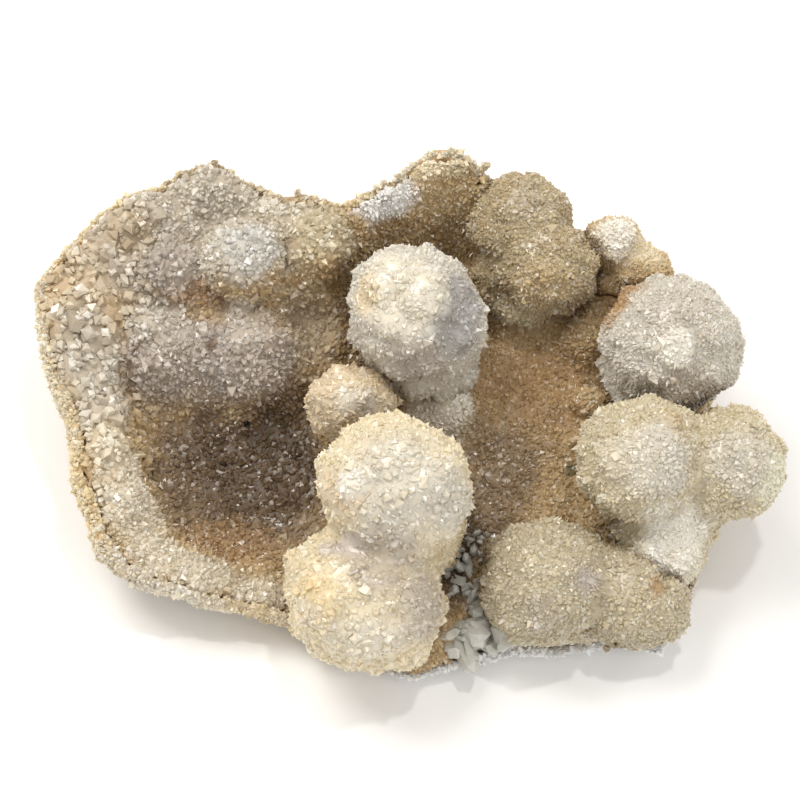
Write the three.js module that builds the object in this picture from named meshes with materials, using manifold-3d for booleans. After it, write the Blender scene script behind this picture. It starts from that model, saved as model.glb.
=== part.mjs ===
// A druzy zeolite specimen: a broken plate of host rock, hollowed on its left, lined with a crust of small
// pointed crystals, with stubby crystal balls growing up out of the crust.
// Millimetres, +Z up. The plate lies on its flat foot, and its front edge faces -Y.
import * as THREE from "three";
import { ConvexHull } from "three/addons/math/ConvexHull.js";
import { mergeVertices } from "three/addons/utils/BufferGeometryUtils.js";
import Module from "manifold-3d";

// Driving dimensions of the plate
const WALL_CENTRE = new THREE.Vector2(-4, -5);
const FOOT_SCALE = 0.66;
const BELLY = { scale: 0.82, share: 0.1 };
const WAIST = { scale: 0.94, share: 0.35 };
const SHOULDER = { share: 0.72, front: -1.4, left: 1.2 };
const ROUGHNESS = 1.6;
const CHIPS = 60;
const CHIP_DEPTH = 0.8;
const SKIN = 2.6;
const CRUST_DEPTH = 3.8;
const CRUST_REACH = 5;
const GAP = 0.35;
const SEAT_GAP = 0.6;
const SKY = 90;
const BELOW_TABLE = -4;
const ROCK_CELL = 10.6;

// Driving dimensions of the crystals
const CRYSTAL_CELL = 5.1;
const CRYSTAL_RISE = [0.8, 2.3];
const CRYSTAL_FOOT = [-0.4, 0.2];
const BALL_CRYSTAL_AREA = 64;
const BALL_CRYSTAL_RISE = [0.4, 1.7];
const BALL_VALLEY = 0.7;

// The broken edge of the plate, anticlockwise seen from above: x, y and how high the rim stands there
const PLATE_EDGE = [
  [-88, 24.5, 38], [-84.5, 8, 36], [-80, -5, 33], [-77, -13, 31], [-77.5, -20, 29], [-72, -31, 28],
  [-71, -36, 26], [-65, -43, 23], [-52.5, -48, 19], [-31, -50.5, 12], [-21, -57, 8], [-5, -63, 6],
  [2, -65.5, 6], [9, -63.5, 6], [15, -61, 6], [24, -58, 6], [38, -58, 6], [52, -56.5, 7], [60, -58, 8],
  [64.5, -54.5, 9], [69, -45, 10], [73, -35, 10], [77, -24, 10], [78, -4, 11], [76, 12, 12], [72, 24, 17],
  [66, 31, 24], [59, 37, 27], [48, 43, 29], [34, 49, 33], [25, 49.5, 44], [19, 52, 51], [12, 54.5, 54],
  [5, 52.5, 52], [-1, 49, 50], [-11, 46.5, 45], [-13.5, 45.5, 43], [-24, 46.5, 45], [-34, 46.5, 47],
  [-41, 50, 49], [-47, 54, 51], [-57, 47.5, 48], [-64, 45.5, 47], [-72, 43.5, 45], [-73.5, 38.5, 42],
  [-79.5, 36, 40], [-85.5, 30.5, 38],
];

// How wide the rim's crest is on the left and at the back, where one gives way to the other along X, and how
// far the rim takes to fall to the floor
const RIM_CREST = { left: 9.5, back: 3.2, leftEnd: -62, backStart: -22 };
const RIM_FALL = 9;

// Floor level of the plate and its two deep places: x, y, reach and depth below the floor
const FLOOR = 13;
const DEEPS = [
  { x: -36, y: -18, reach: 30, depth: 4 },
  { x: 15, y: -44, reach: 17, depth: 2.5 },
];

// Raised shapes of the lined surface: centre, half sizes along its own axes and up, and a turn in degrees
const SWELLS = [
  { name: "upper left shelf", at: [-54, 41, 12], half: [48, 20, 29], turn: -3, flat: 5 },
  { name: "left corner of the shelf", at: [-78, 26, 12], half: [17, 20, 25], turn: 0, flat: 4 },
  { name: "left cheek", at: [-56, 15, 8], half: [17, 14, 26], turn: 8, flat: 2.4 },
  { name: "right cheek", at: [-38, 15, 8], half: [16, 14, 26], turn: -8, flat: 2.4 },
  { name: "shelf bay", at: [-17, 22, 6], half: [17, 16, 18], turn: 0, flat: 2.4 },
  { name: "central mound", at: [7, 9, 6], half: [23, 18, 16], turn: 0, flat: 2.4 },
  { name: "brown slope", at: [36, 9, 4], half: [30, 26, 14], turn: 0, flat: 3 },
  { name: "brown shoulder", at: [50, 21, 14], half: [12, 11, 16], turn: 0, flat: 2.4 },
  { name: "back right mound", at: [33, 35, 8], half: [22, 17, 19], turn: 0, flat: 3 },
  { name: "right mound", at: [62, 9, 6], half: [17, 15, 15], turn: 0, flat: 3 },
  { name: "far right mound", at: [61, -24, 4], half: [19, 18, 15], turn: 0, flat: 3 },
  { name: "front right mound", at: [46, -48, 2], half: [27, 13, 12], turn: 0, flat: 3 },
  { name: "front mound", at: [-3, -42, 2], half: [20, 24, 13], turn: 0, flat: 3 },
  { name: "small ball's mound", at: [-11, -1, 5], half: [13, 11, 13], turn: 0, flat: 2.4 },
];
const SWELL_BLEND = 3;

// Lumps of crystals that are part of the crust: centre and radius, with lobes as for the balls below
const LUMPS = [
  { name: "grey lump", at: [-38, 31, 39], r: 9.5, lobes: [[-3, -2, 0, 7.5]] },
  { name: "cream lump", at: [-20, 36, 37], r: 8.2, lobes: [[-2, 2, 0, 6.8]] },
  { name: "small clear lump", at: [-54, 29, 39], r: 6, lobes: [[-3, 0, 0, 4.5]] },
  { name: "small centre bump", at: [13.5, 1.5, 20], r: 4.6, lobes: [] },
  { name: "clear bead", at: [46.5, 1.5, 18], r: 5.8, lobes: [] },
  { name: "lower clear bead", at: [43, -6, 16], r: 4.8, lobes: [] },
];

// The crystal balls. Each growth is one solid of grown-together blobs: centre, radius and, where a blob isn't
// round, its lobes as offsets from the centre with a radius. The stem blob reaches down into the crust.
const GROWTHS = [
  {
    name: "ball_center_tall",
    blobs: [
      { at: [3.5, 15, 40], r: 15.5, lobes: [[-4, 2, 3, 12], [4, -2, -1, 13]] },
      { at: [6, 13, 26], r: 13, lobes: [[3, -2, -2, 11]] },
    ],
  },
  {
    name: "ball_center_small",
    blobs: [
      { at: [-12.5, -2.5, 29], r: 8.6, lobes: [[-4.5, 0, -1, 6.5], [6, 1.5, -1, 6.5]] },
      { at: [-10, -1.5, 19], r: 9, lobes: [[4, 0, -2, 7]] },
    ],
  },
  {
    name: "balls_front",
    blobs: [
      { at: [-1, -32, 40], r: 16.5, lobes: [[-7, 1, 3, 11], [5, -1, 2, 12.5]] },
      { at: [1.5, -33, 25], r: 14, lobes: [[3, 0, -3, 11]] },
      { at: [-8.5, -51, 24], r: 17, lobes: [[-6, 3, 0, 12], [5, -3, -1, 14], [-2, -3, 4, 13.5]] },
    ],
  },
  {
    name: "balls_back",
    blobs: [
      { at: [29.5, 42, 39], r: 12, lobes: [[-4, 1, -1, 9], [4, 2, -1, 9]] },
      { at: [36, 30, 37], r: 11.5, lobes: [[3, -1, 1, 9]] },
      { at: [31, 34, 26], r: 13.5, lobes: [] },
    ],
  },
  {
    name: "ridge_back_right",
    blobs: [
      { at: [53, 37.5, 36], r: 7.5, lobes: [[-3, 2, -1, 6]] },
      { at: [59.5, 32.5, 32], r: 7.5, lobes: [[3, -1, -2, 6]] },
      { at: [55, 34, 26], r: 9, lobes: [[5, -2, -2, 7]] },
    ],
  },
  {
    name: "ball_right",
    blobs: [
      { at: [65, 8.5, 37], r: 15.8, lobes: [[-5, 3, -1, 12], [4.5, -1, 0, 12]] },
      { at: [62, 8.5, 23], r: 13, lobes: [] },
    ],
  },
  {
    name: "balls_far_right",
    blobs: [
      { at: [55.5, -22, 35], r: 14.5, lobes: [[3, 3, 0, 12]] },
      { at: [77, -21, 31], r: 13, lobes: [[1, 5, 2, 9], [2, -3, -2, 9.5]] },
      { at: [62, -24, 21], r: 14, lobes: [[4, -3, -1, 11]] },
      { at: [62.5, -36, 18], r: 10, lobes: [[-4, 1, 1, 8]] },
    ],
  },
  {
    name: "mounds_front_right",
    blobs: [
      { at: [33, -46, 20], r: 14.5, lobes: [[-3, 0, 0, 11.5], [5, 3, 0, 11]] },
      { at: [52, -47, 15], r: 12.5, lobes: [[6, -3, 0, 10]] },
    ],
  },
];

// Finishes as the photograph shows them
const FINISHES = {
  matrix: { color: 0xd9c3a0, roughness: 0.9, metalness: 0 },
  druse_crust: { color: 0xa0917f, roughness: 0.35, metalness: 0 },
  growth: { color: 0xdcd6c6, roughness: 0.35, metalness: 0 },
};

const wasm = await Module();
wasm.setup();

// A repeatable number from 0 to 1 for whole numbers a, b and c
function chance(a, b = 0, c = 0) {
  const mixed = Math.sin(a * 127.1 + b * 311.7 + c * 74.7) * 43758.5453;
  return mixed - Math.floor(mixed);
}

const between = ([low, high], share) => low + (high - low) * share;

// The larger of a and b, with the corner between them rounded over a width
function smoothMax(a, b, width) {
  const share = THREE.MathUtils.clamp(0.5 + (a - b) / (2 * width), 0, 1);
  return b + (a - b) * share + width * share * (1 - share);
}

// An indexed geometry from a list of points and a list of triangles
function geometryOf(points, triangles) {
  const geometry = new THREE.BufferGeometry();
  geometry.setAttribute("position", new THREE.Float32BufferAttribute(points.flat(), 3));
  geometry.setIndex(triangles.flat());
  return geometry;
}

function solidOf(geometry) {
  const merged = mergeVertices(geometry, 1e-4);
  return new wasm.Manifold(
    new wasm.Mesh({
      numProp: 3,
      vertProperties: new Float32Array(merged.attributes.position.array),
      triVerts: new Uint32Array(merged.index.array),
    }),
  );
}

function geometryFrom(solid) {
  const mesh = solid.getMesh();
  const geometry = new THREE.BufferGeometry();
  geometry.setAttribute("position", new THREE.BufferAttribute(new Float32Array(mesh.vertProperties), 3));
  geometry.setIndex(new THREE.BufferAttribute(new Uint32Array(mesh.triVerts), 1));
  return geometry;
}

// The largest of the bodies that a cut leaves, without its crumbs
function largestBody(solid) {
  return solid.decompose().reduce((best, body) => (body.volume() > best.volume() ? body : best));
}

// The plate's edge with its chips: evenly spaced points, each pushed in or out a little. Their z is the rim's
// height.
function chippedEdge() {
  const corners = PLATE_EDGE.map(([x, y, z]) => new THREE.Vector3(x, y, z));
  const curve = new THREE.CatmullRomCurve3(corners, true, "centripetal");
  return curve.getSpacedPoints(CHIPS).slice(0, CHIPS).map((point, i) => {
    const push = between([-CHIP_DEPTH, CHIP_DEPTH], chance(i, 3));
    return outward(point, push);
  });
}

// A point moved away from the plate's middle, along the table
function outward(point, distance) {
  const away = new THREE.Vector2(point.x, point.y).sub(WALL_CENTRE);
  away.setLength(away.length() + distance).add(WALL_CENTRE);
  return new THREE.Vector3(away.x, away.y, point.z);
}

function scaled(point, scale) {
  return new THREE.Vector3(
    WALL_CENTRE.x + (point.x - WALL_CENTRE.x) * scale,
    WALL_CENTRE.y + (point.y - WALL_CENTRE.y) * scale,
    point.z,
  );
}

const EDGE = chippedEdge();

// The plate's outer form, from the foot past the belly, the waist and the shoulder to the rim, grown by a
// distance. The shoulder stands out on the left and is cut back in front. A tall form goes straight on up from
// the rim.
function outerForm(grow, isTall) {
  const { front, left } = SHOULDER;
  const flare = (p) => THREE.MathUtils.lerp(front, left, THREE.MathUtils.smoothstep(-p.x, 45, 75));
  const rough = (i, row) => between([-ROUGHNESS, ROUGHNESS], chance(i, row));
  const ring = (scale, row) => EDGE.map((p, i) => outward(scaled(p, scale), grow + rough(i, row)));
  const levels = [
    ring(FOOT_SCALE, 7).map((p) => p.setZ(Math.min(0, -grow))),
    ring(BELLY.scale, 8).map((p, i) => p.setZ(p.z * BELLY.share + Math.abs(rough(i, 10)) / 2 - grow / 2)),
    ring(WAIST.scale, 9).map((p) => p.setZ(p.z * WAIST.share)),
    EDGE.map((p, i) => outward(p, grow + flare(p) + rough(i, 11) / 2).setZ(p.z * SHOULDER.share)),
    EDGE.map((p) => outward(p, grow).setZ(p.z + Math.max(0, grow))),
  ];
  if (isTall) levels.push(EDGE.map((p) => outward(p, grow).setZ(SKY)));
  const count = EDGE.length;
  const points = levels.flat().map((p) => [p.x, p.y, p.z]);
  const triangles = [];
  for (let level = 0; level + 1 < levels.length; level++)
    for (let i = 0; i < count; i++) {
      const a = level * count + i;
      const b = level * count + ((i + 1) % count);
      triangles.push([a, b, b + count], [a, b + count, a + count]);
    }
  const cap = (level) => {
    const flat = levels[level].map((p) => new THREE.Vector2(p.x, p.y));
    return THREE.ShapeUtils.triangulateShape(flat, []).map((face) => face.map((v) => v + level * count));
  };
  cap(0).forEach(([a, b, c]) => triangles.push([a, c, b]));
  cap(levels.length - 1).forEach((face) => triangles.push(face));
  return solidOf(geometryOf(points, triangles));
}

// Distance from a place to the plate's edge, and the rim's height at the nearest point of it
function nearestEdge(x, y) {
  let best = { distance: Infinity, rim: 0 };
  for (let i = 0; i < EDGE.length; i++) {
    const a = EDGE[i];
    const b = EDGE[(i + 1) % EDGE.length];
    const along = ((x - a.x) * (b.x - a.x) + (y - a.y) * (b.y - a.y)) / ((b.x - a.x) ** 2 + (b.y - a.y) ** 2);
    const share = THREE.MathUtils.clamp(along, 0, 1);
    const distance = Math.hypot(x - a.x - share * (b.x - a.x), y - a.y - share * (b.y - a.y));
    if (distance < best.distance) best = { distance, rim: a.z + share * (b.z - a.z) };
  }
  return best;
}

function floorLevel(x, y) {
  return DEEPS.reduce((level, { x: cx, y: cy, reach, depth }) => {
    const share = Math.min(1, Math.hypot(x - cx, y - cy) / reach);
    return level - depth * (1 - share * share) ** 2;
  }, FLOOR);
}

function swellHeight({ at, half, turn, flat }, x, y) {
  const angle = THREE.MathUtils.degToRad(turn);
  const dx = x - at[0];
  const dy = y - at[1];
  const u = (dx * Math.cos(angle) + dy * Math.sin(angle)) / half[0];
  const v = (-dx * Math.sin(angle) + dy * Math.cos(angle)) / half[1];
  const reach = Math.hypot(u, v);
  return reach < 1 ? at[2] + half[2] * (1 - reach ** flat) ** (1 / flat) : -Infinity;
}

// The height of the lined surface, before its crystals
function surfaceHeight(x, y) {
  const { distance, rim } = nearestEdge(x, y);
  const floor = floorLevel(x, y);
  const { left, back, leftEnd, backStart } = RIM_CREST;
  const crest = THREE.MathUtils.lerp(left, back, THREE.MathUtils.smoothstep(x, leftEnd, backStart));
  const fall = THREE.MathUtils.smoothstep(distance, crest, crest + RIM_FALL);
  let height = rim + (floor - rim) * fall;
  for (const swell of SWELLS) {
    const raised = swellHeight(swell, x, y);
    if (raised > height - SWELL_BLEND) height = smoothMax(raised, height, SWELL_BLEND);
  }
  return height;
}

// The lowest that the lined surface gets around a place, so that the crust keeps its thickness on steep faces
function lowestAround(x, y) {
  const nearby = Array.from({ length: 6 }, (_, i) => {
    const angle = (i * Math.PI) / 3;
    return surfaceHeight(x + CRUST_REACH * Math.cos(angle), y + CRUST_REACH * Math.sin(angle));
  });
  return Math.min(surfaceHeight(x, y), ...nearby);
}

// A solid between a surface and a level, over a lattice of equal triangles with a given spacing.
// pointAt(x, y, column, row) gives the surface's point.
function lattice(spacing, level, pointAt) {
  const reach = { x: 100, y: 78 };
  const rowStep = (spacing * Math.sqrt(3)) / 2;
  const columns = Math.ceil((2 * reach.x) / spacing);
  const rows = Math.ceil((2 * reach.y) / rowStep);
  const surface = [];
  const flat = [];
  for (let row = 0; row <= rows; row++)
    for (let column = 0; column <= columns; column++) {
      const x = -reach.x + spacing * (column + (row % 2) / 2);
      const y = -reach.y + rowStep * row;
      surface.push(pointAt(x, y, column, row));
      flat.push([x, y, level]);
    }
  const at = (column, row) => row * (columns + 1) + column;
  const over = [];
  for (let row = 0; row < rows; row++)
    for (let column = 0; column < columns; column++) {
      const [a, b] = [at(column, row), at(column + 1, row)];
      const [d, c] = [at(column, row + 1), at(column + 1, row + 1)];
      if (row % 2) over.push([a, b, c], [a, c, d]);
      else over.push([a, b, d], [b, c, d]);
    }
  const border = [
    ...Array.from({ length: columns }, (_, i) => at(i, 0)),
    ...Array.from({ length: rows }, (_, i) => at(columns, i)),
    ...Array.from({ length: columns }, (_, i) => at(columns - i, rows)),
    ...Array.from({ length: rows }, (_, i) => at(0, rows - i)),
  ];
  const under = surface.length;
  const triangles = [...over, ...over.map(([a, b, c]) => [a + under, c + under, b + under])];
  border.forEach((a, i) => {
    const b = border[(i + 1) % border.length];
    triangles.push([a, a + under, b + under], [a, b + under, b]);
  });
  const isRaised = surface[at(columns >> 1, rows >> 1)][2] > level;
  const facingOut = isRaised ? triangles : triangles.map(([a, b, c]) => [a, c, b]);
  return solidOf(geometryOf([...surface, ...flat], facingOut));
}

// All that lies above the crust's underside, lowered by a distance
function aboveRock(drop) {
  return lattice(ROCK_CELL, SKY, (x, y) => [x, y, lowestAround(x, y) - CRUST_DEPTH - drop]);
}

// Every third place of the lattice is a crystal's tip, with six flat faces down to the places around it
function crystalPoint(x, y, column, row) {
  const across = column - (row - (row % 2)) / 2;
  const isTip = (((across - row) % 3) + 3) % 3 === 0;
  const shift = 0.26 * CRYSTAL_CELL;
  const px = x + between([-shift, shift], chance(column, row, 1));
  const py = y + between([-shift, shift], chance(column, row, 2));
  const rise = between(isTip ? CRYSTAL_RISE : CRYSTAL_FOOT, chance(column, row, 3));
  return [px, py, surfaceHeight(px, py) + rise];
}

// How far a blob reaches from its centre in a direction, with its lobes
function blobReach({ r, lobes }, direction) {
  return lobes.reduce((reach, [x, y, z, radius]) => {
    const along = x * direction.x + y * direction.y + z * direction.z;
    const aside = x * x + y * y + z * z - along * along;
    return Math.max(reach, along + Math.sqrt(Math.max(0, radius * radius - aside)));
  }, r);
}

// Evenly spread directions, each turned a little at random
function spreadDirections(count, seed) {
  const golden = Math.PI * (3 - Math.sqrt(5));
  const wander = 0.9 / Math.sqrt(count);
  return Array.from({ length: count }, (_, i) => {
    const z = 1 - (2 * i + 1) / count;
    const ring = Math.sqrt(1 - z * z);
    const angle = golden * i + seed;
    return new THREE.Vector3(
      ring * Math.cos(angle) + between([-wander, wander], chance(i, seed, 5)),
      ring * Math.sin(angle) + between([-wander, wander], chance(i, seed, 6)),
      z + between([-wander, wander], chance(i, seed, 7)),
    ).normalize();
  });
}

// A closed ball of pointed crystals. Each direction is a crystal's tip, and its flat faces run down to the
// middles of the triangles around it.
function crystalBlob(blob, seed, grow) {
  const count = Math.round((4 * Math.PI * blob.r ** 2) / BALL_CRYSTAL_AREA);
  const tips = spreadDirections(count, seed);
  const tipIndex = new Map(tips.map((tip, i) => [tip, i]));
  const hull = new ConvexHull().setFromPoints(tips);
  const faceIndex = new Map(hull.faces.map((face, i) => [face, count + i]));
  const placed = (direction, extra) => {
    const reach = blobReach(blob, direction) + extra + grow;
    return new THREE.Vector3(...blob.at).addScaledVector(direction, reach).toArray();
  };
  const points = tips.map((tip, i) => placed(tip, between(BALL_CRYSTAL_RISE, chance(i, seed, 9))));
  const triangles = [];
  for (const face of hull.faces) {
    const middle = new THREE.Vector3();
    let edge = face.edge;
    do {
      middle.add(edge.head().point);
      triangles.push([tipIndex.get(edge.tail().point), faceIndex.get(edge.twin.face), faceIndex.get(face)]);
      edge = edge.next;
    } while (edge !== face.edge);
    points.push(placed(middle.normalize(), -BALL_VALLEY));
  }
  return solidOf(geometryOf(points, triangles));
}

function growthSolid({ blobs }, number, grow) {
  return blobs
    .map((blob, i) => crystalBlob(blob, 10 * number + i, grow))
    .reduce((joined, blob) => joined.add(blob));
}

// The ground of pointed crystals with its lumps, raised by a distance
function crystalGround(rise, raisedLumps) {
  const ground = lattice(CRYSTAL_CELL, BELOW_TABLE, (x, y, column, row) => {
    const point = crystalPoint(x, y, column, row);
    return [point[0], point[1], point[2] + rise];
  });
  return raisedLumps.reduce((joined, lump) => joined.add(lump), ground);
}

function namedMesh(name, solid, finish) {
  const mesh = new THREE.Mesh(geometryFrom(solid), new THREE.MeshStandardMaterial(finish));
  mesh.name = name;
  return mesh;
}

// The rock is a bowl with a thin wall, and the crust fills it up to the crystals' tips
const pocket = aboveRock(GAP).intersect(outerForm(GAP - SKIN, true));
const matrix = largestBody(outerForm(0, false).subtract(pocket));
const crustRoom = aboveRock(0).intersect(outerForm(-SKIN, true));
const lumps = (grow) => LUMPS.map((lump, i) => crystalBlob(lump, 100 + i, grow));
const crust = largestBody(crustRoom.intersect(crystalGround(0, lumps(0))));

// The balls sit on the crust and the rock, and one that meets an earlier one stops short of it
const seat = outerForm(GAP, false)
  .subtract(crustRoom)
  .add(crystalGround(SEAT_GAP, lumps(SEAT_GAP)).intersect(outerForm(GAP, true)));
const cutters = GROWTHS.map((growth, i) => growthSolid(growth, i, 2 * GAP));
const growths = GROWTHS.map((growth, i) => {
  const seated = growthSolid(growth, i, 0).subtract(seat);
  return largestBody(cutters.slice(0, i).reduce((left, cutter) => left.subtract(cutter), seated));
});

const specimen = new THREE.Group();
specimen.add(namedMesh("matrix", matrix, FINISHES.matrix));
specimen.add(namedMesh("druse_crust", crust, FINISHES.druse_crust));
GROWTHS.forEach(({ name }, i) => specimen.add(namedMesh(name, growths[i], FINISHES.growth)));

// The part's origin is under the middle of the specimen, on the table
const box = new THREE.Box3().setFromObject(specimen);
const middle = box.getCenter(new THREE.Vector3());
specimen.position.set(-middle.x, -middle.y, -box.min.z);

export default specimen;
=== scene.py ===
"""Dresses a druzy zeolite specimen: its rock plate, its crystal crust and its crystal balls.

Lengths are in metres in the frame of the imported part. Names that end in _mm hold millimetres in the frame
of the plate's own drawing, which PLATE_ORIGIN_MM places in the part.
"""

from __future__ import annotations

import logging
import math
from dataclasses import dataclass, field, fields, replace
from enum import Enum
from typing import Any, Iterable, Sequence

import bpy
import numpy as np
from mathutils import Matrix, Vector
from mathutils.bvhtree import BVHTree
from mathutils.kdtree import KDTree


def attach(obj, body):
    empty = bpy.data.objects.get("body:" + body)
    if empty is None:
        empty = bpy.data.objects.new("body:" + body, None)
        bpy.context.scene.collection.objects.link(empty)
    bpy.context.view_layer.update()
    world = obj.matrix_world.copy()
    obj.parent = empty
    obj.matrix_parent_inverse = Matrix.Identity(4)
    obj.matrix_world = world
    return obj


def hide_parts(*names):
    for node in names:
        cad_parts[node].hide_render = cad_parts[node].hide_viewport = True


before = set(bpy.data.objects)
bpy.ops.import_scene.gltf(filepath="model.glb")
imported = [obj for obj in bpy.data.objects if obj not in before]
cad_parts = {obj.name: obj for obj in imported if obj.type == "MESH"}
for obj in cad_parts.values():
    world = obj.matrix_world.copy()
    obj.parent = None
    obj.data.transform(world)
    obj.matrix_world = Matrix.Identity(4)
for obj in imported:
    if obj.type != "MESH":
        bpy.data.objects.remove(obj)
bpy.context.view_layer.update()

MM = 0.001
PLATE_ORIGIN_MM = (-0.95, 7.20, 0.0)
PICTURE_SIDE = 800
MM_PER_PIXEL = 0.241
VIEW_ELEVATION = 60.0
FIRST_BALL_SEED = 11
NOISE_STEPS = (73856093, 19349663, 83492791)
NOISE_SEED = 2654435761
NOISE_MIX = 1274126177

Array = np.ndarray
Material = bpy.types.Material
Point = tuple[float, float, float]
Colour = tuple[float, float, float, float]
Sockets = dict[int | str, Any]

log = logging.getLogger("specimen")


def linear(code: int) -> Array:
    """Turns a screen colour, written 0xRRGGBB, into linear light by the sRGB curve."""
    channels = np.array([(code >> shift) & 255 for shift in (16, 8, 0)], float) / 255
    return np.where(channels <= 0.04045, channels / 12.92, ((channels + 0.055) / 1.055) ** 2.4)


def smoothstep(low: float, high: float, value: Array) -> Array:
    """Rises softly from 0 at low to 1 at high."""
    share = np.clip((value - low) / (high - low), 0, 1)
    return share * share * (3 - 2 * share)


def value_noise(points: Array, size: float, seed: int) -> Array:
    """Soft random lumps in space.

    Args:
        points: Places, one a row.
        size: The distance between lumps.
        seed: Which pattern it is.

    Returns:
        A value from 0 to 1 for each place.
    """
    spot = points / size
    corner = np.floor(spot).astype(np.int64)
    share = spot - corner
    share = share * share * (3 - 2 * share)
    total = np.zeros(len(points))
    for step in np.ndindex(2, 2, 2):
        place = corner + np.array(step)
        mixed = np.bitwise_xor.reduce(place * np.array(NOISE_STEPS), axis=1) ^ (seed * NOISE_SEED)
        mixed = (mixed ^ (mixed >> 13)) * NOISE_MIX & 0x7FFFFFFF
        weight = np.prod(np.where(np.array(step) == 1, share, 1 - share), axis=1)
        total += weight * ((mixed ^ (mixed >> 16)) & 0xFFFF) / 0xFFFF
    return total


def cloud(points: Array, size: float, seed: int) -> Array:
    """Two sizes of soft lumps together, from 0 to 1."""
    return 0.67 * value_noise(points, size, seed) + 0.33 * value_noise(points, size / 2.3, seed + 7)


def unit(vectors: Array) -> Array:
    """Gives every vector the length 1."""
    return vectors / np.linalg.norm(vectors, axis=-1, keepdims=True)


def in_part(place_mm: Point) -> Array:
    """Turns a place of the plate's drawing into metres in the part."""
    return (np.array(place_mm) + np.array(PLATE_ORIGIN_MM)) * MM


def solid(nodes: Iterable[str]) -> tuple[list[Point], list[list[int]]]:
    """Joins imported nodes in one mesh.

    Args:
        nodes: Their names.

    Returns:
        The mesh's points, and the corners of each of its faces.
    """
    points: list[Point] = []
    faces: list[list[int]] = []
    for node in nodes:
        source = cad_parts[node].data
        start = len(points)
        points += [tuple(vertex.co) for vertex in source.vertices]
        faces += [[start + corner for corner in polygon.vertices] for polygon in source.polygons]
    return points, faces


def placed(name: str, data: bpy.types.ID) -> bpy.types.Object:
    """Makes an object of some data and puts it in the scene."""
    made = bpy.data.objects.new(name, data)
    bpy.context.scene.collection.objects.link(made)
    return made


class Tone(Enum):
    """The colours of the specimen."""

    SNOW = 0xFBF9F4
    WHITE = 0xF6EEDD
    MILK = 0xDED4BE
    FROST = 0xD9DBDA
    PALE = 0xE5D9C2
    CREAM = 0xE6D3AE
    PEACH = 0xE4C696
    ROSE = 0xDDC6A5
    SILVER = 0xCFC7B8
    GREY = 0xB6AA99
    LILAC = 0xB5AAA2
    BLUE_GREY = 0x9A9794
    GREENISH = 0xAA9878
    SAND = 0xC0A47A
    STRAW = 0xC8BA9B
    GREEN_GOLD = 0xE4DEC2
    KHAKI = 0xB8AB8F
    TAN = 0xAB8860
    STONE = 0x9C8A72
    RUST = 0xB17A40
    BROWN = 0x84705A
    # Dark brown with painted shade in it, for the deep hollow, a crack and the front trough.
    DARK = 0x4A3929
    MOSS = 0x3E4A34
    BLACK = 0x1A1613

    @property
    def light(self) -> Array:
        """The tone in linear light."""
        return linear(self.value)


@dataclass(frozen=True)
class Patch:
    """A soft-edged patch of one tone on the specimen."""

    tone: Tone
    at_mm: Point
    reach_mm: float
    strength: float = 0.9
    stretch: Point = (1.0, 1.0, 1.0)

    def cover(self, points: Array) -> Array:
        """How much the patch covers each place, from 0 to 1."""
        reach = self.reach_mm * MM * np.array(self.stretch)
        far = np.linalg.norm((points - in_part(self.at_mm)) / reach, axis=1)
        far += 0.5 * (cloud(points, 0.006, 3) - 0.5)
        return self.strength * (1 - smoothstep(0.45, 1.05, far))


def painted(points: Array, ground: Tone, patches: Sequence[Patch]) -> Array:
    """Lays patches over a ground tone, each over those before it.

    Args:
        points: Places in metres, one a row.
        ground: The tone where no patch reaches.
        patches: The patches from the lowest to the topmost.

    Returns:
        A linear colour for each place.
    """
    colours = np.repeat(ground.light[None, :], len(points), axis=0)
    for patch in patches:
        cover = patch.cover(points)[:, None]
        colours = colours * (1 - cover) + patch.tone.light * cover
    return colours


def patches(*rows: tuple[Any, ...]) -> tuple[Patch, ...]:
    """Makes a patch of each row: tone, place and reach, and strength and stretch where it says them."""
    return tuple(Patch(*row) for row in rows)


@dataclass(frozen=True)
class Ball:
    """A crystal ball of the plate's drawing, with places named as the picture shows them."""

    centre_mm: Point
    radius_mm: float

    def at(self, right: float, up: float) -> Point:
        """Finds the visible place so many millimetres right of the middle and above it in the picture."""
        near = math.sqrt(max(self.radius_mm**2 - right**2 - up**2, 0))
        x, y, z = self.centre_mm
        lean = math.radians(VIEW_ELEVATION)
        return (
            x + right,
            y + up * math.sin(lean) - near * math.cos(lean),
            z + up * math.cos(lean) + near * math.sin(lean),
        )


@dataclass(frozen=True)
class Knob:
    """A rounded swelling of the surface that crystals grow on."""

    at_mm: Point
    reach_mm: float
    height_mm: float

    def lift(self, points: Array) -> Array:
        """How far the knob pushes each place out, in metres."""
        far = np.linalg.norm(points - in_part(self.at_mm), axis=1) / (self.reach_mm * MM)
        return self.height_mm * MM * np.sqrt(np.clip(1 - far * far, 0, 1))


class Wire:
    """A node socket that can stand in a Python expression."""

    def __init__(self, graph: Graph, socket: bpy.types.NodeSocket) -> None:
        """Keeps the socket and the graph it is in."""
        self.graph = graph
        self.socket = socket

    def _math(self, operation: str, first: Wire | float, second: Wire | float) -> Wire:
        """Adds one Math node."""
        return self.graph.node("ShaderNodeMath", {"operation": operation}, {0: first, 1: second})

    def __add__(self, other: Wire | float) -> Wire:
        """Adds a value."""
        return self._math("ADD", self, other)

    __radd__ = __add__

    def __mul__(self, other: Wire | float) -> Wire:
        """Multiplies by a value."""
        return self._math("MULTIPLY", self, other)

    __rmul__ = __mul__

    def __sub__(self, other: Wire | float) -> Wire:
        """Takes a value away."""
        return self._math("SUBTRACT", self, other)

    def __rsub__(self, other: Wire | float) -> Wire:
        """Is taken away from a value."""
        return self._math("SUBTRACT", other, self)


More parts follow.
